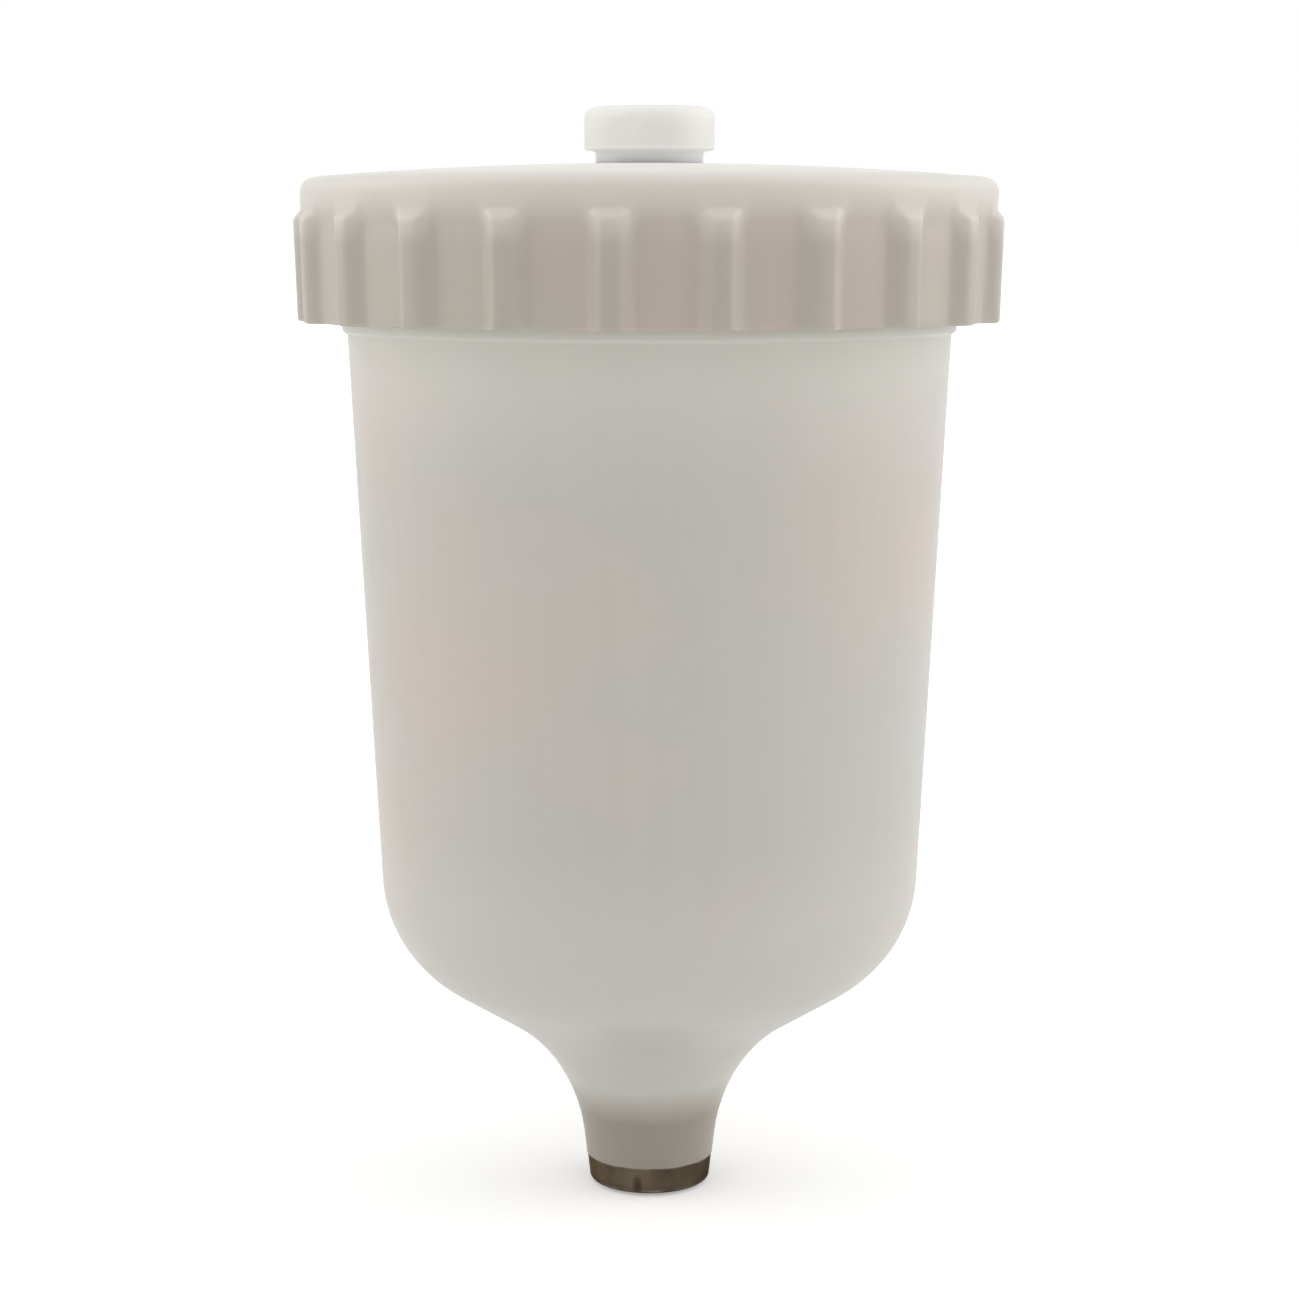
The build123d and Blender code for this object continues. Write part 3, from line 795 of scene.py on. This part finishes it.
def skirt_wall(across, z):
    """The skirt's outer radius by the distance from a rib's middle, and two masks, 0 to 1:
    one for the ribs' flanks and one for the pockets.
    """
    up = np.clip((z - LID_FOOT_Z) / (POCKET_TOP_Z - LID_FOOT_Z), 0, 1)
    panel = PANEL_FOOT_R + (PANEL_TOP_R - PANEL_FOOT_R) * up
    past_rib = np.maximum(POCKET_CORNER_ROUND - (across - RIB_BASE_HALF), 0)
    past_top = np.maximum(POCKET_CORNER_ROUND - POCKET_TOP_SLOPE * (POCKET_TOP_Z - z), 0)
    inside = POCKET_CORNER_ROUND - np.hypot(past_rib, past_top)
    wall = soft_max(-RIB_FLANK_SLOPE * inside, np.zeros_like(inside), RIB_BLEND)
    over_top = np.clip(z - (RIB_TOP_Z - RIB_TOP_ROUND), 0, RIB_TOP_ROUND)
    rounded_off = RIB_TOP_ROUND - np.sqrt(RIB_TOP_ROUND**2 - over_top**2)
    fallen = RIB_TOP_FALL * np.maximum(z - RIB_TOP_Z, 0)
    crest = RIB_FOOT_DEPTH + (RIB_TOP_DEPTH - RIB_FOOT_DEPTH) * up - rounded_off - fallen
    past_side = np.maximum(RIB_CAP_ROUND - (RIB_CAP_HALF - across), 0)
    past_cap = np.maximum(RIB_CAP_ROUND - (RIB_CAP_Z - z), 0)
    cap = RIB_CAP_ROUND - np.hypot(past_side, past_cap)
    rib = soft_min(RIB_FLANK_SLOPE * cap, crest, RIB_BLEND)
    outer = soft_max(SHOULDER_R - panel, rib, SHOULDER_BLEND)
    height = soft_min(wall, outer, RIB_CREST_BLEND)
    flank = np.clip(height / FLANK_FROM_H, 0, 1) * np.clip(FLANK_END_H - wall, 0, 1)
    pocket = np.clip(1 - height / POCKET_END_H, 0, 1)
    return panel + height, flank, pocket


def lid_sector():
    """One rib and half a pocket on each side, out from the boss and back over the dome."""
    half = np.append(COLUMN_STOPS / PANEL_TOP_R, pi / RIB_COUNT)
    turns = np.concatenate([-half[:0:-1], half])[None, :]
    across = np.abs(turns) * PANEL_TOP_R
    under = rounded_outline(
        [
            (PLUG_BORE_R, BOSS_FOOT_Z, 0),
            (BOSS_R, BOSS_FOOT_Z, 0),
            (BOSS_R, CEILING_Z, CEILING_ROUND),
            (CEILING_BREAK_R, CEILING_Z, 0),
            (GUIDE_BORE_R, CEILING_EDGE_Z, CEILING_ROUND),
            (GUIDE_BORE_R, GUIDE_FOOT_Z, GUIDE_EDGE),
            (GUIDE_OUTER_R, GUIDE_FOOT_Z, GUIDE_EDGE),
            (GUIDE_OUTER_R, SEAT_Z, 0),
            (LID_BORE_R, SEAT_Z, 0),
            (LID_BORE_R, LID_FOOT_Z + LID_MOUTH_CHAMFER, 0),
            (LID_BORE_R + LID_MOUTH_CHAMFER, LID_FOOT_Z, 0),
        ],
        arc_steps=4,
    )
    over_it = rounded_outline(
        [
            (SHOULDER_R, SHOULDER_FOOT_Z, 0),
            (SHOULDER_R, SHOULDER_Z, SHOULDER_ROUND),
            (DOME_CORNER_R, DOME_Z, DOME_ROUND),
            (PLUG_BORE_R, DOME_Z, 0),
        ],
        arc_steps=10,
    )
    over_it = [point for point in over_it[1:] if point[0] > PLUG_BORE_R] + [(PLUG_BORE_R, DOME_Z)]
    nought = 0 * across
    rows = [(r + nought, z + nought, nought, nought, nought) for r, z in under]
    radius, flank, pocket = skirt_wall(across, LID_FOOT_Z + SKIRT_EDGE_ROUND + nought)
    for step in range(SKIRT_EDGE_STEPS + 1):
        turned = step / SKIRT_EDGE_STEPS * pi / 2
        lift = SKIRT_EDGE_ROUND * (1 - cos(turned))
        tuck = SKIRT_EDGE_ROUND * (1 - sin(turned))
        rows.append((radius - tuck, LID_FOOT_Z + lift + nought, flank, pocket, nought + 1))
    for z in SKIRT_HEIGHTS:
        radius, flank, pocket = skirt_wall(across, z + nought)
        rows.append((radius, z + nought, flank, pocket, nought + 1))
    rows += [(r + nought, z + nought, nought, nought, nought + 1) for r, z in over_it]
    radii, heights, *masks = (np.vstack(parts) for parts in zip(*rows))
    mesh = skin_of_rows("lid_sector", radii, heights, turns + RIB_PHASE, closed_round=False)
    for label, mask in zip(("flank", "pocket", "outside"), masks):
        attribute = mesh.attributes.new(label, "FLOAT", "POINT")
        attribute.data.foreach_set("value", mask.ravel().astype(np.float32))
    return mesh


def turned_copies(tree, instance, count, phase=0.0):
    """Copies of an instance, spaced evenly round the axis from a first turn, the phase."""
    inputs = {"Geometry": instance, "Amount": count}
    many = add(tree, "GeometryNodeDuplicateElements", inputs, domain="INSTANCE").outputs
    apart = maths(tree, "DIVIDE", 2 * pi, count)
    turn = maths(tree, "ADD", phase, maths(tree, "MULTIPLY", many["Duplicate Index"], apart))
    spin = add(tree, "ShaderNodeCombineXYZ", {2: turn}).outputs[0]
    turned = {"Instances": many["Geometry"], "Rotation": spin, "Local Space": False}
    return add(tree, "GeometryNodeRotateInstances", turned).outputs[0]


def ring_of_sectors_tree():
    """Copies of one sector round the axis, joined along their edges."""
    kinds = [
        ("Geometry", "NodeSocketGeometry"),
        ("Count", "NodeSocketInt"),
        ("Seam Reach", "NodeSocketFloat"),
        ("Material", "NodeSocketMaterial"),
    ]
    tree, asked, out = geometry_tree("ring_of_sectors", kinds)
    one = add(tree, "GeometryNodeGeometryToInstance", {0: asked["Geometry"]}).outputs[0]
    around = turned_copies(tree, one, asked["Count"])
    real = add(tree, "GeometryNodeRealizeInstances", {0: around}).outputs[0]
    joined_inputs = {"Geometry": real, "Distance": asked["Seam Reach"]}
    joined = add(tree, "GeometryNodeMergeByDistance", joined_inputs).outputs[0]
    close_tree(tree, joined, asked["Material"], out)
    return tree


def white_polyethylene():
    """The lid's plastic: painted shade low on the ribs' crests, painted light on their caps and
    flanks, on the shoulder, the dome and the inner faces.
    """
    material, tree, surface = moulded_plastic(
        "white_polyethylene",
        LID_SKIRT,
        LID_SKIRT_PATCH,
        WORN_LID_EDGES,
        patch_size=30.0,
        flow=0.06,
        roughness=0.42,
        peel=0.02,
    )
    masks = {}
    for label in ("flank", "pocket", "outside"):
        masks[label] = add(tree, "ShaderNodeAttribute", attribute_name=label).outputs["Fac"]
    height = add(tree, "ShaderNodeGroup", node_tree=cup_axis).outputs["Height"]
    # Painted shade: the ribs' crests are painted darker further down the skirt.
    down = graded(tree, height, RIB_SHADE_FROM_Z, RIB_SHADE_FULL_Z)
    # Painted light: the ribs' rounded tops are painted paler towards the shoulder.
    up = graded(tree, height, CAP_PAINTED_LIGHT_FROM_Z, CAP_PAINTED_LIGHT_FULL_Z)
    crest = maths(tree, "SUBTRACT", down, masks["pocket"], clamp=True)
    cap = maths(tree, "SUBTRACT", up, masks["pocket"], clamp=True)
    # Painted light: everything above 148.5 mm is painted paler up to the shoulder.
    shoulder = graded(tree, height, SHOULDER_PAINTED_LIGHT_FROM_Z, SHOULDER_PAINTED_LIGHT_FULL_Z)
    parts = (
        (crest, RIB_SHADE_SHARE, LID_RIB_PAINTED_SHADE),
        (cap, CAP_PAINTED_LIGHT_SHARE, LID_RIB_CAP_PAINTED_LIGHT),
        # Painted light on the ribs' flanks.
        (masks["flank"], FLANK_PAINTED_LIGHT_SHARE, LID_RIB_FLANK_PAINTED_LIGHT),
        (shoulder, SHOULDER_PAINTED_LIGHT_SHARE, LID_SHOULDER_PAINTED_LIGHT),
    )
    for mask, share, colour in parts:
        lay_over(tree, surface, maths(tree, "MULTIPLY", mask, share), colour)
    # Painted light: paler and paler up towards the top of the dome.
    dome = maths(tree, "POWER", graded(tree, height, LID_FOOT_Z, DOME_Z), DOME_PAINTED_LIGHT_POWER)
    lay_over(tree, surface, dome, LID_DOME_PAINTED_LIGHT)
    # Painted light: the inner faces are painted pale, lifting the shade inside the lid.
    lay_over(tree, surface, maths(tree, "SUBTRACT", 1.0, masks["outside"]), LID_INSIDE_PAINTED_LIGHT)
    milky(surface, share=0.8, depth=1.0)
    return material


lid_plastic = white_polyethylene()
lid_sizes = {"Count": RIB_COUNT, "Seam Reach": SEAM_REACH * MM, "Material": lid_plastic}
lid_mesh = grown("lid_shell", ring_of_sectors_tree(), lid_sizes, lid_sector())
lid_shell = finished_piece("lid_shell", lid_mesh, lid_plastic, "lid")
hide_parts("lid")


# Lid thread: two starts of a coarse blunt screw inside the skirt, moulded with the lid.
# With the lid on, they lie under the ridges of the cup.

RIDGE_LEAD = 12.0
RIDGE_TURNS = 0.75
RIDGE_FOOT_Z = 139.6
RIDGE_PHASE = radians(-2.84)
RIDGE_STARTS = 2
RIDGE_CREST_R = 47.55
RIDGE_CREST_W = 1.4
RIDGE_BASE_W = 3.6
RIDGE_ROOT_R = 49.8
RIDGE_STEPS = 72


def screw_ridges_tree():
    """Starts of a screw ridge: a blunt section carried up a spiral, and copied round the axis."""
    kinds = [
        ("Path Radius", "NodeSocketFloat"),
        ("Rise", "NodeSocketFloat"),
        ("Turns", "NodeSocketFloat"),
        ("Foot", "NodeSocketFloat"),
        ("Phase", "NodeSocketFloat"),
        ("Depth", "NodeSocketFloat"),
        ("Crest Half Width", "NodeSocketFloat"),
        ("Base Half Width", "NodeSocketFloat"),
        ("Starts", "NodeSocketInt"),
        ("Steps", "NodeSocketInt"),
        ("Material", "NodeSocketMaterial"),
    ]
    tree, asked, out = geometry_tree("screw_ridges", kinds)
    spiral_inputs = {
        "Resolution": asked["Steps"],
        "Rotations": asked["Turns"],
        "Start Radius": asked["Path Radius"],
        "End Radius": asked["Path Radius"],
        "Height": asked["Rise"],
        "Reverse": True,
    }
    spiral = add(tree, "GeometryNodeCurveSpiral", spiral_inputs).outputs[0]
    upright = add(tree, "GeometryNodeSetCurveNormal", {"Curve": spiral})
    upright.mode = "Z_UP"
    inward = maths(tree, "MULTIPLY", asked["Depth"], -1.0)
    corners = (
        ("Point 1", 0.0, "Base Half Width", -1.0),
        ("Point 2", 0.0, "Base Half Width", 1.0),
        ("Point 3", inward, "Crest Half Width", 1.0),
        ("Point 4", inward, "Crest Half Width", -1.0),
    )
    section = add(tree, "GeometryNodeCurvePrimitiveQuadrilateral", mode="POINTS")
    for label, out_by, half, side in corners:
        across = maths(tree, "MULTIPLY", asked[half], side)
        corner = add(tree, "ShaderNodeCombineXYZ", {0: out_by, 1: across}).outputs[0]
        tree.links.new(corner, section.inputs[label])
    ridge_inputs = {
        "Curve": upright.outputs[0],
        "Profile Curve": section.outputs[0],
        "Fill Caps": True,
    }
    ridge = add(tree, "GeometryNodeCurveToMesh", ridge_inputs).outputs[0]
    one = add(tree, "GeometryNodeGeometryToInstance", {0: ridge}).outputs[0]
    around = turned_copies(tree, one, asked["Starts"], asked["Phase"])
    lift = add(tree, "ShaderNodeCombineXYZ", {2: asked["Foot"]}).outputs[0]
    lifted_inputs = {"Geometry": around, "Translation": lift}
    lifted = add(tree, "GeometryNodeTransform", lifted_inputs).outputs[0]
    close_tree(tree, lifted, asked["Material"], out)
    return tree


ridge_sizes = {
    "Path Radius": RIDGE_ROOT_R * MM,
    "Rise": RIDGE_LEAD * RIDGE_TURNS * MM,
    "Turns": RIDGE_TURNS,
    "Foot": RIDGE_FOOT_Z * MM,
    "Phase": RIDGE_PHASE,
    "Depth": (RIDGE_ROOT_R - RIDGE_CREST_R) * MM,
    "Crest Half Width": RIDGE_CREST_W / 2 * MM,
    "Base Half Width": RIDGE_BASE_W / 2 * MM,
    "Starts": RIDGE_STARTS,
    "Steps": RIDGE_STEPS,
    "Material": lid_plastic,
}
ridge_mesh = grown("lid_thread", screw_ridges_tree(), ridge_sizes)
finished_piece("lid_thread", ridge_mesh, lid_plastic, "lid")


# Drip baffle: a small cap pressed over the vent boss under the lid, moulded in the same
# plastic. Air passes through its windows, and paint that splashes up is held back.

BAFFLE_R = 8.6
BAFFLE_FOOT_Z = 146.1
BAFFLE_TOP_Z = 154.5
WORN_BAFFLE_EDGES = ((BAFFLE_R, BAFFLE_FOOT_Z, 0.9), (BAFFLE_R, BAFFLE_TOP_Z, 0.4))
BAFFLE = (224, 221, 214)
BAFFLE_PATCH = (214, 208, 199)


def inner_polyethylene():
    """The lid's white plastic where no hand or light reaches it, plain and a little matt."""
    material, _, surface = moulded_plastic(
        "inner_polyethylene",
        BAFFLE,
        BAFFLE_PATCH,
        WORN_BAFFLE_EDGES,
        patch_size=12.0,
        flow=0.04,
        roughness=0.5,
        peel=0.012,
    )
    milky(surface, share=0.25, depth=1.2)
    return material


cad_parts["drip_baffle"].material_slots[0].material = inner_polyethylene()


# Vent plug: a mushroom of white polyethylene, pushed by hand into the boss and pulled out
# the same way. It is the palest piece, and fingers have worn the edge of its head.

HEAD_FOOT_Z = 162.75
WORN_PLUG_EDGES = ((9.5, 168.8, 0.9),)
STEM_PAINTED_LIGHT_FADE = 0.6
PLUG = (233, 233, 231)
PLUG_PATCH = (229, 228, 225)
PLUG_STEM_PAINTED_LIGHT = (253, 252, 247)
PLUG_SPECULAR = 0.35


def handled_polyethylene():
    """The plug's plastic: clean and pale, with painted light on its stem, and wear along its head's
    edge.
    """
    material, tree, surface = moulded_plastic(
        "handled_polyethylene",
        PLUG,
        PLUG_PATCH,
        WORN_PLUG_EDGES,
        patch_size=11.0,
        flow=0.03,
        roughness=0.36,
        peel=0.012,
    )
    spot = add(tree, "ShaderNodeGroup", node_tree=cup_axis).outputs
    # Painted light: the stem under the head is painted near white, lifting the head's shadow on it.
    stem = graded(tree, spot["Height"], HEAD_FOOT_Z + STEM_PAINTED_LIGHT_FADE, HEAD_FOOT_Z)
    lay_over(tree, surface, stem, PLUG_STEM_PAINTED_LIGHT)
    milky(surface, share=1.0, depth=6.0)
    surface["Specular IOR Level"].default_value = PLUG_SPECULAR
    return material


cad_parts["vent_plug"].material_slots[0].material = handled_polyethylene()


# Studio: a white floor just under the outlet, plain soft lamps from above, the front and
# both sides, and the camera where the photographer stood, level with the lid's skirt.

FLOOR_DROP = 0.0004
FLOOR_REACH = 30.0
FLOOR_GREY = 0.88
FLOOR_GLOW = 0.34
WORLD_GREY = 0.36
WHITE = (1.0, 1.0, 1.0, 1.0)
CAMERA_PLACE = (0.0, -0.447, 0.1496)
CAMERA_PITCH_DEG = 8.15
LENS_MM = 79.76
SENSOR_MM = 36.0
FAR_CLIP = 100.0
SOFT_LAMPS = (
    ("top_lamp", 1.05, 100, (8, 0, 0), (1.0, 1.0, 0.99)),
    ("left_lamp", 1.1, 60, (78, 0, -96), (1.0, 0.965, 0.92)),
    ("right_lamp", 1.3, 60, (78, 0, 96), (1.0, 0.98, 0.945)),
    ("front_lamp", 0.5, 90, (82, 0, 0), (1.0, 0.99, 0.97)),
)


def seen_directly(tree):
    """1 for rays from the camera, in mirrors and through glass, and 0 for rays that light."""
    path = add(tree, "ShaderNodeLightPath").outputs
    seen = maths(tree, "MAXIMUM", path["Is Camera Ray"], path["Is Glossy Ray"])
    return maths(tree, "MAXIMUM", seen, path["Is Transmission Ray"])


floor_mesh = bpy.data.meshes.new("floor")
floor_signs = ((-1, -1), (1, -1), (1, 1), (-1, 1))
floor_corners = [(x * FLOOR_REACH, y * FLOOR_REACH, -FLOOR_DROP) for x, y in floor_signs]
floor_mesh.from_pydata(floor_corners, [], [(0, 1, 2, 3)])
floor = bpy.data.objects.new("floor", floor_mesh)
bpy.context.scene.collection.objects.link(floor)
floor_white, floor_tree, floor_surface = new_material("floor_white")
floor_surface["Base Color"].default_value = (FLOOR_GREY, FLOOR_GREY, FLOOR_GREY, 1.0)
floor_surface["Roughness"].default_value = 1.0
floor_surface["Specular IOR Level"].default_value = 0.0
floor_surface["Emission Color"].default_value = WHITE
floor_glow = maths(floor_tree, "MULTIPLY", seen_directly(floor_tree), FLOOR_GLOW)
floor_tree.links.new(floor_glow, floor_surface["Emission Strength"])
floor_mesh.materials.append(floor_white)

world = bpy.data.worlds.new("studio_white")
world.use_nodes = True
bpy.context.scene.world = world
background = world.node_tree.nodes["Background"].inputs
background["Color"].default_value = WHITE
world_seen = seen_directly(world.node_tree)
world_strength = graded(world.node_tree, world_seen, 0.0, 1.0, WORLD_GREY, 1.0)
world.node_tree.links.new(world_strength, background["Strength"])

for lamp_name, strength, angle_deg, turn_deg, lamp_colour in SOFT_LAMPS:
    lamp = bpy.data.lights.new(lamp_name, "SUN")
    lamp.energy = strength
    lamp.angle = radians(angle_deg)
    lamp.color = lamp_colour
    holder = bpy.data.objects.new(lamp_name, lamp)
    holder.rotation_euler = [radians(value) for value in turn_deg]
    bpy.context.scene.collection.objects.link(holder)

camera = bpy.data.cameras.new("camera")
camera.lens = LENS_MM
camera.sensor_width = SENSOR_MM
camera.clip_end = FAR_CLIP
camera_holder = bpy.data.objects.new("camera", camera)
camera_holder.location = CAMERA_PLACE
camera_holder.rotation_euler = (radians(90 - CAMERA_PITCH_DEG), 0, 0)
bpy.context.scene.collection.objects.link(camera_holder)
bpy.context.scene.camera = camera_holder
bpy.context.scene.view_settings.view_transform = "Standard"
